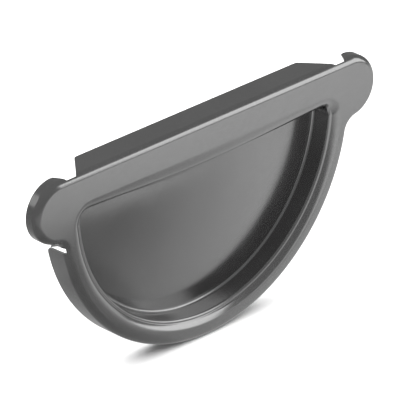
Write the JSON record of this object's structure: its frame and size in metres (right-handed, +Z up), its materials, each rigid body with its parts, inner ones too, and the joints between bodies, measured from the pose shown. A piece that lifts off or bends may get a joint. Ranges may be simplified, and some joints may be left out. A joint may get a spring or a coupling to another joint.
{
  "type": "gutter end cap",
  "caption": "Half-round gutter end cap pressed from coated sheet steel, with a recessed D-shaped pan, round bead ears, a hook-over top flange and a half-round skirt.",
  "frame": {"origin": "on the gutter's axis, the centre of the half-round skirt, in the plane of the face's back where the gutter's end seats", "axes": "+Z up, +X along the top edge, +Y backwards along the gutter, the way the gutter leaves"},
  "size_m": [0.1532, 0.0109, 0.078],
  "materials": {
    "coated_steel": "semi-gloss mid-grey factory coating on both sides"
  },
  "bodies": {
    "root": {"end_cap": "coated_steel"}
  },
  "joints": []
}
